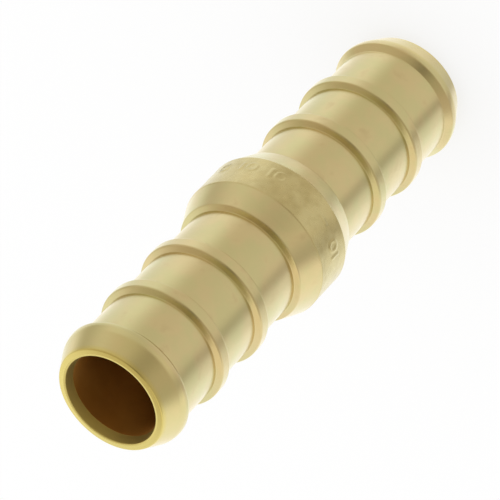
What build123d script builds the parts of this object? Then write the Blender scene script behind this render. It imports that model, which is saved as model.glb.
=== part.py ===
"""Barbed crimp coupling for plastic pipe, stored standing on one of its two like ends.

One revolved brass body, the same above and below its middle plane: a stop collar
in the middle, a ringed insert at each end and a straight waterway through the
whole length. Units are mm, +Z is up, the axis of the waterway is the Z axis and
the lower end is at Z = 0.
"""

import os

from build123d import *

# overall body
LENGTH = 35.9
ROOT_R = 4.04
CREST_R = 4.45

# waterway and its tapered mouths
BORE_R = 3.08
MOUTH_R = 3.25
MOUTH_DEPTH = 0.70

# end noses: a flat end ring, a taper out to the crest, a short land and a steep back
END_RING_R = 3.72
NOSE_TAPER = 1.50
NOSE_LAND = 0.39
NOSE_BACK = 0.40

# grip rings, each placed by its centre's distance from the end
RING_LAND = 0.78
RING_FACE = 0.18
RING_FROM_END = 6.19
RING_PITCH = 4.55

# stop collar, heights measured from the middle of the body
BAND_R = 5.13
BAND_EDGE = 1.40
CONE_END_R = 5.00
CONE_END = 1.45
STEP_R = 4.42
STEP_TOP = 2.98
STEP_FOOT = 3.12

# how each corner of the section is finished
SHARP = None
BREAK = (chamfer, 0.06)
END_ROUND = (fillet, 0.10)
CREST_ROUND = (fillet, 1.20)
RING_ROUND = (fillet, 0.10)


def ring(from_end):
    """One grip ring, from the foot nearer the collar to the foot nearer the end."""
    centre = LENGTH - from_end
    land_half = RING_LAND / 2
    foot_half = land_half + RING_FACE
    return [
        (ROOT_R, centre - foot_half, SHARP),
        (CREST_R, centre - land_half, BREAK),
        (CREST_R, centre + land_half, BREAK),
        (ROOT_R, centre + foot_half, SHARP),
    ]


middle = LENGTH / 2
nose_foot = NOSE_TAPER + NOSE_LAND

# each corner of the upper half's section is its radius, its height and its finish
collar = [
    (BAND_R, middle, SHARP),
    (BAND_R, middle + BAND_EDGE, SHARP),
    (CONE_END_R, middle + CONE_END, SHARP),
    (STEP_R, middle + STEP_TOP, BREAK),
    (ROOT_R, middle + STEP_FOOT, SHARP),
]
nose = [
    (ROOT_R, LENGTH - nose_foot - NOSE_BACK, SHARP),
    (CREST_R, LENGTH - nose_foot, RING_ROUND),
    (CREST_R, LENGTH - NOSE_TAPER, CREST_ROUND),
    (END_RING_R, LENGTH, END_ROUND),
]

corners = [(0, middle, SHARP)]
corners += collar
corners += ring(RING_FROM_END + RING_PITCH)
corners += ring(RING_FROM_END)
corners += nose
corners.append((0, LENGTH, SHARP))

with BuildPart() as fitting_body:
    # sections are drawn with X as the radius and Y as the height
    with BuildSketch(Plane.XZ) as upper_section:
        with BuildLine():
            Polyline(*[(radius, height) for radius, height, _ in corners], close=True)
        make_face()
        for radius, height, finish in corners:
            if finish is not SHARP:
                edge_operation, amount = finish
                nearby = upper_section.sketch_local.vertices()
                nearby = nearby.sort_by_distance((radius, height, 0))
                edge_operation(nearby[0], amount)
    revolve(axis=Axis.Z)
    # the lower half is the upper one mirrored about the middle plane
    mirror(about=Plane.XY.offset(middle))
    with BuildSketch(Plane.XZ):
        with BuildLine():
            Polyline(
                (0, 0),
                (MOUTH_R, 0),
                (BORE_R, MOUTH_DEPTH),
                (BORE_R, LENGTH - MOUTH_DEPTH),
                (MOUTH_R, LENGTH),
                (0, LENGTH),
                close=True,
            )
        make_face()
    revolve(axis=Axis.Z, mode=Mode.SUBTRACT)

fitting_body.part.label = "fitting_body"

os.makedirs("parts", exist_ok=True)
export_step(fitting_body.part, "parts/fitting_body.step")
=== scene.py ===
"""Studio scene for a barbed brass coupling that stands on its plain end.

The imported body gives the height. The visible body is a finer lathe of nearly the same
half section, with eased edges, a rough forged band and a dark waterway.
"""

import math

import bpy
from mathutils import Matrix, Vector, noise


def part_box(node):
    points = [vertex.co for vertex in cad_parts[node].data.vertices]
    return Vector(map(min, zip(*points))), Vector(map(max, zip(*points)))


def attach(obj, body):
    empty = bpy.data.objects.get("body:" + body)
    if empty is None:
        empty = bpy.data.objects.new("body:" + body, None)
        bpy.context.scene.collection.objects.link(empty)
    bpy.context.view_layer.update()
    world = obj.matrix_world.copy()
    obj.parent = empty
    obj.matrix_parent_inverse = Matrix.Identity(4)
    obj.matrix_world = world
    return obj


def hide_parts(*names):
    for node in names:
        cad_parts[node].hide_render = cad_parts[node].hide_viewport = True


MM = 0.001

# camera: the axis leans away from the viewer and the picture is rolled
VIEW_TILT = math.radians(49.4)
VIEW_ROLL = math.radians(46.53)
VIEW_DISTANCE = 0.3139
AIM_ALONG = 0.00121
AIM_ACROSS = 0.00012
LENS = 360
SENSOR = 36

# half section in mm: the solid's sizes, but for small changes at the rim, nose, cone and band
ROOT_R = 4.04
CREST_R = 4.45
BORE_R = 3.08
MOUTH_R = 3.25
MOUTH_DEPTH = 0.70
MOUTH_EDGE = 0.01
END_RING_R = 3.72
RIM_TOP_R = 3.38
RIM_FALL = 0.04
NOSE_TAPER = 1.50
NOSE_EDGE_R = 4.43
NOSE_LAND = 0.39
NOSE_BACK = 0.40
RING_LAND = 0.78
RING_FACE = 0.18
RING_FROM_END = 6.19
RING_PITCH = 4.55
BAND_R = 5.08
BAND_EDGE = 1.38
CONE_END_R = 5.03
CONE_END = 1.48
STEP_R = 4.42
STEP_TOP = 2.98
STEP_FOOT = 3.12

# rounding of corners that repeat, in mm
FOOT_ROUND = 0.03
CREST_ROUND = 0.15
EDGE_ROUND = 0.10

# fineness of the lathe
SEGMENTS = 360
ARC_STEP = math.radians(17)
ARC_LENGTH = 0.12
HOLD = 0.03
BAND_STEP = 0.08
# most of a run that the arc at one of its ends may take
RUN_SHARE = 0.72

# material index of each kind of surface
TURNED, FORGED, CUT, WATERWAY = range(4)

# relief of the forged band, in mm
FORGING_DEPTH = 0.008
FORGING_SCALE = 1.6
# how far from the band's edge the relief starts, and over how far it grows
RELIEF_FROM = 0.05
RELIEF_OVER = 0.15
MARK_HEIGHT = 0.045
MARK_EDGE = 0.07
MARK_STROKE = 0.05
# plain rings and bars stand where the real one is marked
# ring: degrees round from +X, height from the middle, radius
MARK_RINGS = [
    (-133, -0.15, 0.34),
    (-69, -0.40, 0.34),
    (-45, -0.40, 0.34),
    (-20, -0.40, 0.34),
    (62, -0.20, 0.34),
    (98, -0.20, 0.34),
]
# bar: degrees round from +X, height from the middle, half length round, half height
MARK_BARS = [
    (-141.5, -0.15, 0.02, 0.34),
    (-112, -0.30, 0.30, 0.02),
    (-93, -0.45, 0.02, 0.25),
    (-61, -0.40, 0.02, 0.34),
    (-37, -0.40, 0.02, 0.34),
    (80, -0.20, 0.02, 0.34),
]


def srgb(red, green, blue):
    """A display colour, 0 to 255, as a linear colour with alpha."""
    channels = [c / 255 for c in (red, green, blue)]
    linear = [c / 12.92 if c <= 0.04045 else ((c + 0.055) / 1.055) ** 2.4 for c in channels]
    return (*linear, 1)


# ---------------------------------------------------------------- the body


def ring(from_end):
    """One grip ring: each corner's distance from the end, radius and rounding, in mm."""
    land_half = RING_LAND / 2
    foot_half = land_half + RING_FACE
    return [
        (from_end - foot_half, ROOT_R, FOOT_ROUND),
        (from_end - land_half, CREST_R, CREST_ROUND),
        (from_end + land_half, CREST_R, CREST_ROUND),
        (from_end + foot_half, ROOT_R, FOOT_ROUND),
    ]


def half_section(length):
    """Corners of the half section: radius, height and rounding, in mm."""
    middle = length / 2
    nose_foot = NOSE_TAPER + NOSE_LAND
    insert = [
        (MOUTH_DEPTH, BORE_R, EDGE_ROUND),
        (MOUTH_EDGE, MOUTH_R, 0.05),
        (0, RIM_TOP_R, 0.20),
        (RIM_FALL, END_RING_R, 0.12),
        (NOSE_TAPER, NOSE_EDGE_R, 1.20),
        (nose_foot, CREST_R, 0.16),
        (nose_foot + NOSE_BACK, ROOT_R, 0.06),
    ]
    insert += ring(RING_FROM_END)
    insert += ring(RING_FROM_END + RING_PITCH)
    insert += [
        (middle - STEP_FOOT, ROOT_R, FOOT_ROUND),
        (middle - STEP_TOP, STEP_R, EDGE_ROUND),
        (middle - CONE_END, CONE_END_R, EDGE_ROUND),
        (middle - BAND_EDGE, BAND_R, EDGE_ROUND),
    ]
    lower = [(radius, from_end, rounding) for from_end, radius, rounding in insert]
    upper = [(radius, length - from_end, rounding) for from_end, radius, rounding in insert]
    return lower + upper[::-1]


def rounded(corners):
    """A closed outline with an arc at each corner and a held point beside each arc."""
    points = []
    for i, (radius, height, rounding) in enumerate(corners):
        here = Vector((radius, height))
        last_run = Vector(corners[i - 1][:2]) - here
        next_run = Vector(corners[(i + 1) % len(corners)][:2]) - here
        back = last_run.normalized()
        ahead = next_run.normalized()
        half = back.angle(ahead) / 2
        room = RUN_SHARE * min(last_run.length, next_run.length)
        reach = min(rounding / math.tan(half), room)
        centre = here + (back + ahead).normalized() * (reach / math.cos(half))
        start = here + back * reach - centre
        end = here + ahead * reach - centre
        turn = math.copysign(math.pi - 2 * half, start.cross(end))
        fineness = max(1 / ARC_STEP, rounding / ARC_LENGTH)
        steps = max(2, round(abs(turn) * fineness))
        points.append(here + back * (reach + HOLD))
        for k in range(steps + 1):
            points.append(centre + Matrix.Rotation(turn * k / steps, 2) @ start)
        points.append(here + ahead * (reach + HOLD))
    return points


def refined(points, low, high, step):
    """The outline with extra points on its outer runs between two heights."""
    result = []
    for i, point in enumerate(points):
        result.append(point)
        following = points[(i + 1) % len(points)]
        run = following - point
        outside = min(point.x, following.x) > ROOT_R - HOLD
        within = low <= min(point.y, following.y) and max(point.y, following.y) <= high
        if outside and within and run.length > step:
            cuts = math.ceil(run.length / step)
            result += [point + run * k / cuts for k in range(1, cuts)]
    return result


def smooth(value):
    """0 below 0, 1 above 1 and a soft step between."""
    value = min(max(value, 0), 1)
    return value * value * (3 - 2 * value)


def mark_relief(angle, height):
    """How far the forged marks stand up at a place on the band, in mm."""

    def away(degrees):
        gap = (math.degrees(angle) - degrees + 180) % 360 - 180
        return math.radians(gap) * BAND_R

    outside = 1.0
    for degrees, centre, radius in MARK_RINGS:
        outside = min(outside, abs(math.hypot(away(degrees), height - centre) - radius))
    for degrees, centre, half_length, half_height in MARK_BARS:
        across = max(abs(away(degrees)) - half_length, 0)
        along = max(abs(height - centre) - half_height, 0)
        outside = min(outside, math.hypot(across, along))
    return MARK_HEIGHT * smooth(1 - (outside - MARK_STROKE) / MARK_EDGE)


def band_relief(point, angle, middle):
    """Radial offset of the band's forged surface at an outline point, in mm."""
    height = point.y - middle
    from_edge = BAND_EDGE - abs(height)
    weight = smooth((from_edge - RELIEF_FROM) / RELIEF_OVER) if point.x > CONE_END_R else 0
    if weight == 0:
        return 0
    place = Vector((math.cos(angle), math.sin(angle), 0)) * point.x
    place.z = point.y
    rough = noise.fractal(place * FORGING_SCALE, 1.0, 2.0, 2)
    return weight * (FORGING_DEPTH * (rough - 1) + mark_relief(angle, height))


def zone(point, following, middle):
    """Material index of the strip between two outline points."""
    if max(point.x, following.x) < BORE_R + HOLD:
        return WATERWAY
    farthest = max(abs(point.y - middle), abs(following.y - middle))
    if farthest < BAND_EDGE + HOLD:
        return FORGED
    nearest = min(abs(point.y - middle), abs(following.y - middle))
    return CUT if nearest > middle - NOSE_TAPER - NOSE_LAND / 2 else TURNED


def lathe_body(length):
    """The closed ring-shaped mesh of the whole coupling."""
    middle = length / 2
    outline = rounded(half_section(length))
    outline = refined(outline, middle - BAND_EDGE, middle + BAND_EDGE, BAND_STEP)
    angles = [2 * math.pi * s / SEGMENTS for s in range(SEGMENTS)]
    verts = []
    for point in outline:
        for angle in angles:
            radius = point.x + band_relief(point, angle, middle)
            verts.append((radius * math.cos(angle), radius * math.sin(angle), point.y))
    faces = []
    zones = []
    for i, point in enumerate(outline):
        j = (i + 1) % len(outline)
        for s in range(SEGMENTS):
            t = (s + 1) % SEGMENTS
            corners = (i * SEGMENTS + s, i * SEGMENTS + t, j * SEGMENTS + t, j * SEGMENTS + s)
            faces.append(corners)
            zones.append(zone(point, outline[j], middle))
    mesh = bpy.data.meshes.new("coupling_body")
    mesh.from_pydata(verts, [], faces)
    mesh.polygons.foreach_set("material_index", zones)
    mesh.transform(Matrix.Scale(MM, 4))
    mesh.shade_smooth()
    return mesh


# ---------------------------------------------------------------- materials

# how far roughness wanders either way, and the mouth's own roughness
ROUGHNESS_DRIFT = 0.03
MOUTH_ROUGHNESS = 0.45


class Shading:
    """Short calls for building one node tree."""

    def __init__(self, tree):
        self.tree = tree

    def add(self, kind, settings=None, **inputs):
        """A node with its settings, and its inputs set or linked by name."""
        made = self.tree.nodes.new(kind)
        for key, value in (settings or {}).items():
            setattr(made, key, value)
        for key, value in inputs.items():
            self.feed(made, key.replace("_", " "), value)
        return made

    def feed(self, target, name, value):
        """Sets an input, or links it if the value is a socket. A digit picks it by place."""
        socket = target.inputs[int(name) if name.isdigit() else name]
        if isinstance(value, bpy.types.NodeSocket):
            self.tree.links.new(value, socket)
        else:
            socket.default_value = value

    def math(self, operation, first, second=0.0, clamp=False):
        """The output of a Math node."""
        made = self.tree.nodes.new("ShaderNodeMath")
        made.operation = operation
        made.use_clamp = clamp
        self.feed(made, "0", first)
        self.feed(made, "1", second)
        return made.outputs[0]

    def mix(self, factor, first, second):
        """The colour between two colours."""
        made = self.tree.nodes.new("ShaderNodeMix")
        made.data_type = "RGBA"
        self.tree.links.new(factor, made.inputs["Factor"])
        self.feed(made, "6", first)
        self.feed(made, "7", second)
        return made.outputs[2]

    def ramp(self, factor, stops):
        """A smooth colour ramp from (place, colour) stops."""
        made = self.tree.nodes.new("ShaderNodeValToRGB")
        bar = made.color_ramp
        bar.interpolation = "EASE"
        while len(bar.elements) < len(stops):
            bar.elements.new(0.5)
        for element, (place, colour) in zip(bar.elements, stops):
            element.position = place
        for element, (place, colour) in zip(bar.elements, stops):
            element.color = colour
        self.tree.links.new(factor, made.inputs["Fac"])
        return made.outputs["Color"]


def millimetres(shading):
    """Object coordinates in millimetres."""
    place = shading.add("ShaderNodeTexCoord").outputs["Object"]
    scaled = shading.add("ShaderNodeVectorMath", {"operation": "SCALE"}, Vector=place, Scale=1000.0)
    return scaled.outputs["Vector"]


def noise_value(shading, place, scale, detail=2.0, roughness=0.5):
    """The value of a noise texture of so many features a millimetre."""
    made = shading.add(
        "ShaderNodeTexNoise", Vector=place, Scale=scale, Detail=detail, Roughness=roughness
    )
    return made.outputs["Fac"]


def distance_from_axis(shading, place):
    """How far a place is from the Z axis."""
    parts = shading.add("ShaderNodeSeparateXYZ", Vector=place)
    flat = shading.add("ShaderNodeCombineXYZ", X=parts.outputs["X"], Y=parts.outputs["Y"])
    length = shading.add("ShaderNodeVectorMath", {"operation": "LENGTH"}, Vector=flat.outputs[0])
    return length.outputs["Value"]


def along_noise(shading, travel, scale):
    """The value of a noise that changes along one length only."""
    made = shading.add(
        "ShaderNodeTexNoise", {"noise_dimensions": "1D"}, W=travel, Scale=scale, Detail=3.0
    )
    return made.outputs["Fac"]


def tool_lines(shading, place, scale):
    """Fine rings left by a lathe tool, which follow height and radius."""
    parts = shading.add("ShaderNodeSeparateXYZ", Vector=place)
    travel = shading.math("ADD", parts.outputs["Z"], distance_from_axis(shading, place))
    return along_noise(shading, travel, scale)


def bumped(shading, height, strength, distance, under=None):
    """A bump normal, laid over another one if given."""
    made = shading.add("ShaderNodeBump", Height=height, Strength=strength, Distance=distance)
    if under is not None:
        shading.feed(made, "Normal", under)
    return made.outputs["Normal"]


def between(shading, value, low, high, start=0.0, end=1.0):
    """A value carried from one range to another, without going past its ends."""
    made = shading.add(
        "ShaderNodeMapRange", Value=value, From_Min=low, From_Max=high, To_Min=start, To_Max=end
    )
    return made.outputs[0]


def unevenly_rough(shading, shader, value, roughness):
    """Roughness that wanders a little with a noise value."""
    low, high = roughness - ROUGHNESS_DRIFT, roughness + ROUGHNESS_DRIFT
    shading.feed(shader, "Roughness", between(shading, value, 0.3, 0.7, low, high))


def brass(name, tones, roughness, detail):
    """A brass material. detail(shading, place, shader, colour, roughness) adds its finish."""
    material = bpy.data.materials.new(name)
    material.use_nodes = True
    shading = Shading(material.node_tree)
    shader = material.node_tree.nodes["Principled BSDF"]
    shader.inputs["Metallic"].default_value = 1.0
    place = millimetres(shading)
    patches = noise_value(shading, place, 0.45, 3.0, 0.6)
    colour = shading.ramp(patches, [(0.35, tones[0]), (0.65, tones[1])])
    detail(shading, place, shader, colour, roughness)
    return material


def turned_finish(shading, place, shader, colour, roughness):
    """Fine tool lines, faint handling smears and a few soft dull spots."""
    spots = noise_value(shading, place, 0.9, 2.0, 0.55)
    spotted = between(shading, spots, 0.62, 0.80, end=0.25)
    shading.feed(shader, "Base Color", shading.mix(spotted, colour, DULL_SPOT))
    smear = noise_value(shading, place, 0.8, 3.0, 0.6)
    unevenly_rough(shading, shader, smear, roughness)
    wave = bumped(shading, noise_value(shading, place, 0.5, 1.0), 0.5, 0.00002)
    grain = bumped(shading, noise_value(shading, place, 7.0, 2.0), 0.10, 0.00001, wave)
    lines = tool_lines(shading, place, 9.0)
    shading.feed(shader, "Normal", bumped(shading, lines, 0.12, 0.00001, grain))


def forged_finish(shading, place, shader, colour, roughness):
    """A slightly browner skin with soft pits and a coarse grain."""
    pits = noise_value(shading, place, 2.2, 2.0, 0.5)
    stain = noise_value(shading, place, 0.7, 3.0, 0.6)
    stained = between(shading, stain, 0.45, 0.70, end=0.6)
    shading.feed(shader, "Base Color", shading.mix(stained, colour, FORGE_STAIN))
    unevenly_rough(shading, shader, pits, roughness)
    skin = bumped(shading, pits, 0.10, 0.00003)
    grain = noise_value(shading, place, 12.0)
    shading.feed(shader, "Normal", bumped(shading, grain, 0.05, 0.00001, skin))


def cut_finish(shading, place, shader, colour, roughness):
    """Yellower at the rim and inside the mouth, with fine tool lines."""
    radius = distance_from_axis(shading, place)
    at_rim = between(shading, radius, END_RING_R, END_RING_R + 0.15, 1.0, 0.0)
    shading.feed(shader, "Base Color", shading.mix(at_rim, colour, RIM_TONE))
    dulled = between(shading, radius, MOUTH_R, MOUTH_R + 0.1, MOUTH_ROUGHNESS, roughness)
    shading.feed(shader, "Roughness", dulled)
    lines = tool_lines(shading, place, 9.0)
    shading.feed(shader, "Normal", bumped(shading, lines, 0.12, 0.00001))


def waterway_finish(shading, place, shader, colour, roughness):
    """Drilled walls whose colour is a painted glow: the deep orange brown that light takes on as it
    bounces down inside.
    """
    shading.feed(shader, "Base Color", colour)
    shading.feed(shader, "Roughness", roughness)
    around = shading.add("ShaderNodeTangent", {"direction_type": "RADIAL", "axis": "Z"})
    shading.feed(shader, "Tangent", around.outputs["Tangent"])
    shader.inputs["Anisotropic"].default_value = 0.9
    shader.inputs["Anisotropic Rotation"].default_value = 0.25
    parts = shading.add("ShaderNodeSeparateXYZ", Vector=place)
    lines = along_noise(shading, parts.outputs["Z"], 5.0)
    shading.feed(shader, "Normal", bumped(shading, lines, 0.3, 0.00002))


TURNED_TONES = (srgb(208, 202, 153), srgb(215, 201, 155))
FORGED_TONES = (srgb(210, 200, 151), srgb(208, 195, 144))
CUT_TONES = (srgb(210, 203, 151), srgb(214, 203, 153))
RIM_TONE = srgb(214, 201, 126)
# the waterway's tones are a painted glow: the orange brown of light bouncing down inside the bore
WATERWAY_TONES_WITH_PAINTED_GLOW = (srgb(185, 135, 65), srgb(176, 126, 58))
DULL_SPOT = srgb(174, 160, 115)
FORGE_STAIN = srgb(180, 167, 117)


# ---------------------------------------------------------------- studio


def ray_kind(shading, kind):
    """Whether the ray is of one kind."""
    return shading.add("ShaderNodeLightPath").outputs[kind]


# the room's level, at which a standing wall's mean tone is near its colour as written
ROOM_LIGHT = 1.3
# the part of green that warm light loses for each part of blue
WARM_GREEN = 0.4


def light(level, warmth=0.0):
    """Part of the room's light, neutral or warm."""
    level *= ROOM_LIGHT
    return (level, level * (1 - WARM_GREEN * warmth), level * (1 - warmth), 1)


def round_the_room(stops):
    """Ramp stops for a sweep of light. Each stop is the turn at which a standing
    wall of the body mirrors it, in degrees from the front towards -X, and its light."""
    placed = [(0.5 - degrees / 180, colour) for degrees, colour in stops]
    return sorted(placed, key=lambda stop: stop[0])


def turn_from_front(shading, place, radius):
    """0.5 towards -Y, 0 or 1 towards +Y. Nearer than infinity it is stretched, so
    that what a standing wall mirrors runs straight down the wall."""
    parts = shading.add("ShaderNodeSeparateXYZ", Vector=place)
    ahead = shading.math("MULTIPLY", parts.outputs["Y"], -1.0)
    turn = shading.math("ARCTAN2", parts.outputs["X"], ahead)
    if radius is not None:
        shift = shading.math("SUBTRACT", 1.0, shading.math("DIVIDE", ROOT_R / 2, radius))
        turn = shading.math("DIVIDE", turn, shift)
    return shading.math("ADD", shading.math("DIVIDE", turn, 2 * math.pi), 0.5, clamp=True)


# The sweeps' turns and levels were set in round numbers against the photograph.
# the turn of the one dark streak down the front
STREAK = 33

# what the walls mirror in the floor: bright sides, a dim front and the dark streak
FLOOR_SWEEP = [
    (80, light(1.00)),
    (60, light(0.95)),
    (45, light(0.75, 0.05)),
    (STREAK, light(0.45, 0.20)),
    (24, light(0.65, 0.20)),
    (-20, light(0.60, 0.25)),
    (-42, light(0.85, 0.10)),
    (-62, light(0.80, 0.05)),
    (-82, light(1.00)),
]
# the floor farther off and the horizon, which mostly the sloping faces mirror
FAR_SWEEP = [
    (60, light(0.95, 0.10)),
    (42, light(0.90, 0.15)),
    (STREAK - 4, light(0.45, 0.25)),
    (14, light(0.65, 0.25)),
    (-10, light(0.55, 0.25)),
    (-35, light(0.70, 0.20)),
    (-55, light(0.50, 0.25)),
    (-70, light(0.85, 0.10)),
]
# the floor close to the foot, which the lower nose mirrors
NEAR_SWEEP = [
    (80, light(1.00)),
    (50, light(0.85, 0.10)),
    (STREAK, light(0.55, 0.20)),
    (10, light(0.65, 0.20)),
    (-20, light(0.80, 0.20)),
    (-50, light(0.90, 0.10)),
    (-80, light(1.00)),
]


# distance from the axis, in mm, over which one sweep of the floor turns into the next
NEAR_TO_MIDDLE = (4.6, 6.4)
MIDDLE_TO_FAR = (46.0, 80.0)
FLOOR_HALF = 1.5
# how much of the floor the camera sees as evenly lit, which leaves the rest to shadow
EVEN_SHARE = 0.75


def make_floor():
    """A plain white floor that the metal sees as a graded studio sweep."""
    mesh = bpy.data.meshes.new("floor")
    half = FLOOR_HALF
    square = [(-half, -half, 0), (half, -half, 0), (half, half, 0), (-half, half, 0)]
    mesh.from_pydata(square, [], [(0, 1, 2, 3)])
    floor = bpy.data.objects.new("floor", mesh)
    bpy.context.scene.collection.objects.link(floor)
    material = bpy.data.materials.new("floor_white")
    material.use_nodes = True
    tree = material.node_tree
    tree.nodes.clear()
    shading = Shading(tree)
    place = millimetres(shading)
    radius = distance_from_axis(shading, place)
    turn = turn_from_front(shading, place, radius)
    sweep = shading.ramp(turn, round_the_room(FLOOR_SWEEP))
    far_sweep = shading.ramp(turn, round_the_room(FAR_SWEEP))
    near_sweep = shading.ramp(turn, round_the_room(NEAR_SWEEP))
    graded = shading.mix(between(shading, radius, *MIDDLE_TO_FAR), sweep, far_sweep)
    graded = shading.mix(between(shading, radius, *NEAR_TO_MIDDLE), near_sweep, graded)
    plain = shading.add("ShaderNodeBsdfDiffuse", Color=(1, 1, 1, 1))
    lit = shading.add("ShaderNodeEmission", Color=(1, 1, 1, 1), Strength=1.0)
    seen = shading.add("ShaderNodeMixShader", Fac=EVEN_SHARE)
    tree.links.new(plain.outputs[0], seen.inputs[1])
    tree.links.new(lit.outputs[0], seen.inputs[2])
    mirrored = shading.add("ShaderNodeEmission", Color=graded, Strength=1.0)
    base = shading.add("ShaderNodeMixShader", Fac=ray_kind(shading, "Is Camera Ray"))
    tree.links.new(plain.outputs[0], base.inputs[1])
    tree.links.new(seen.outputs[0], base.inputs[2])
    full = shading.add("ShaderNodeMixShader", Fac=ray_kind(shading, "Is Glossy Ray"))
    tree.links.new(base.outputs[0], full.inputs[1])
    tree.links.new(mirrored.outputs[0], full.inputs[2])
    out = shading.add("ShaderNodeOutputMaterial")
    tree.links.new(full.outputs[0], out.inputs["Surface"])
    mesh.materials.append(material)


# the room above the horizon
WALL_SWEEP = [
    (80, light(0.85, 0.10)),
    (48, light(0.85, 0.15)),
    (40, light(0.50, 0.30)),
    (15, light(0.45, 0.35)),
    (0, light(0.35, 0.40)),
    (-20, light(0.55, 0.35)),
    (-60, light(0.55, 0.30)),
    (-80, light(0.95, 0.10)),
]
# high up, as the steep faces mirror it
OVERHEAD_SWEEP = [
    (80, light(0.50, 0.40)),
    (65, light(0.85, 0.30)),
    (52, light(0.80, 0.25)),
    (43, light(0.45, 0.35)),
    (15, light(0.40, 0.40)),
    (0, light(0.15, 0.40)),
    (-15, light(0.35, 0.40)),
    (-80, light(0.50, 0.40)),
]
ZENITH = light(0.05, 0.40)
# height of the direction, 0 level and 1 straight up, over which one turns into the next
HORIZON_TO_WALLS = (0.02, 0.15)
WALLS_TO_OVERHEAD = (0.60, 0.80)
OVERHEAD_TO_ZENITH = (0.980, 0.994)


def make_world():
    """White to the camera and to the floor, and a graded room to the metal."""
    world = bpy.data.worlds.new("studio")
    world.use_nodes = True
    bpy.context.scene.world = world
    tree = world.node_tree
    tree.nodes.clear()
    shading = Shading(tree)
    place = shading.add("ShaderNodeTexCoord").outputs["Generated"]
    turn = turn_from_front(shading, place, None)
    walls = shading.ramp(turn, round_the_room(WALL_SWEEP))
    horizon = shading.ramp(turn, round_the_room(FAR_SWEEP))
    height = shading.add("ShaderNodeSeparateXYZ", Vector=place).outputs["Z"]
    room = shading.mix(between(shading, height, *HORIZON_TO_WALLS), horizon, walls)
    overhead = shading.ramp(turn, round_the_room(OVERHEAD_SWEEP))
    room = shading.mix(between(shading, height, *WALLS_TO_OVERHEAD), room, overhead)
    room = shading.mix(between(shading, height, *OVERHEAD_TO_ZENITH), room, ZENITH)
    colour = shading.mix(ray_kind(shading, "Is Glossy Ray"), (1, 1, 1, 1), room)
    background = shading.add("ShaderNodeBackground", Color=colour, Strength=1.0)
    out = shading.add("ShaderNodeOutputWorld")
    tree.links.new(background.outputs[0], out.inputs["Surface"])


def make_camera(length):
    """Looks down on the open end, rolled so that the axis runs across the picture."""
    axis = Vector((0, 0, -1))
    away = Vector((0, 1, 0))
    view = math.cos(VIEW_TILT) * axis + math.sin(VIEW_TILT) * away
    along = (axis - math.cos(VIEW_TILT) * view).normalized()
    across = view.cross(along)
    right = math.cos(VIEW_ROLL) * along + math.sin(VIEW_ROLL) * across
    up = math.sin(VIEW_ROLL) * along - math.cos(VIEW_ROLL) * across
    centre = Vector((0, 0, length / 2))
    place = centre - VIEW_DISTANCE * view - AIM_ALONG * along - AIM_ACROSS * across
    data = bpy.data.cameras.new("camera")
    data.lens = LENS
    data.sensor_width = SENSOR
    camera = bpy.data.objects.new("camera", data)
    turn = Matrix((right, up, -view)).transposed()
    camera.matrix_world = Matrix.Translation(place) @ turn.to_4x4()
    bpy.context.scene.collection.objects.link(camera)
    bpy.context.scene.camera = camera


# ---------------------------------------------------------------- the scene

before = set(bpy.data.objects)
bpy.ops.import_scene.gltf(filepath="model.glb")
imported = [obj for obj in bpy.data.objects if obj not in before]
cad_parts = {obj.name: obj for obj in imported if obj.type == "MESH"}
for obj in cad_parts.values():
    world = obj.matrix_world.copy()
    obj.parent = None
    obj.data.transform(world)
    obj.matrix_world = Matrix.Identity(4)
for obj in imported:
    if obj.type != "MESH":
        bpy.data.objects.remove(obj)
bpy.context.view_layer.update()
lowest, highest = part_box("fitting_body")
length_mm = (highest.z - lowest.z) / MM

body = bpy.data.objects.new("coupling_body", lathe_body(length_mm))
bpy.context.scene.collection.objects.link(body)
body.data.materials.append(brass("turned_brass", TURNED_TONES, 0.24, turned_finish))
body.data.materials.append(brass("forged_brass", FORGED_TONES, 0.28, forged_finish))
body.data.materials.append(brass("cut_brass", CUT_TONES, 0.22, cut_finish))
body.data.materials.append(brass("waterway_brass_painted_glow", WATERWAY_TONES_WITH_PAINTED_GLOW, 0.46, waterway_finish))
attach(body, "root")
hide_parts("fitting_body")

make_floor()
make_world()
make_camera(highest.z - lowest.z)

scene = bpy.context.scene
scene.view_settings.view_transform = "Standard"
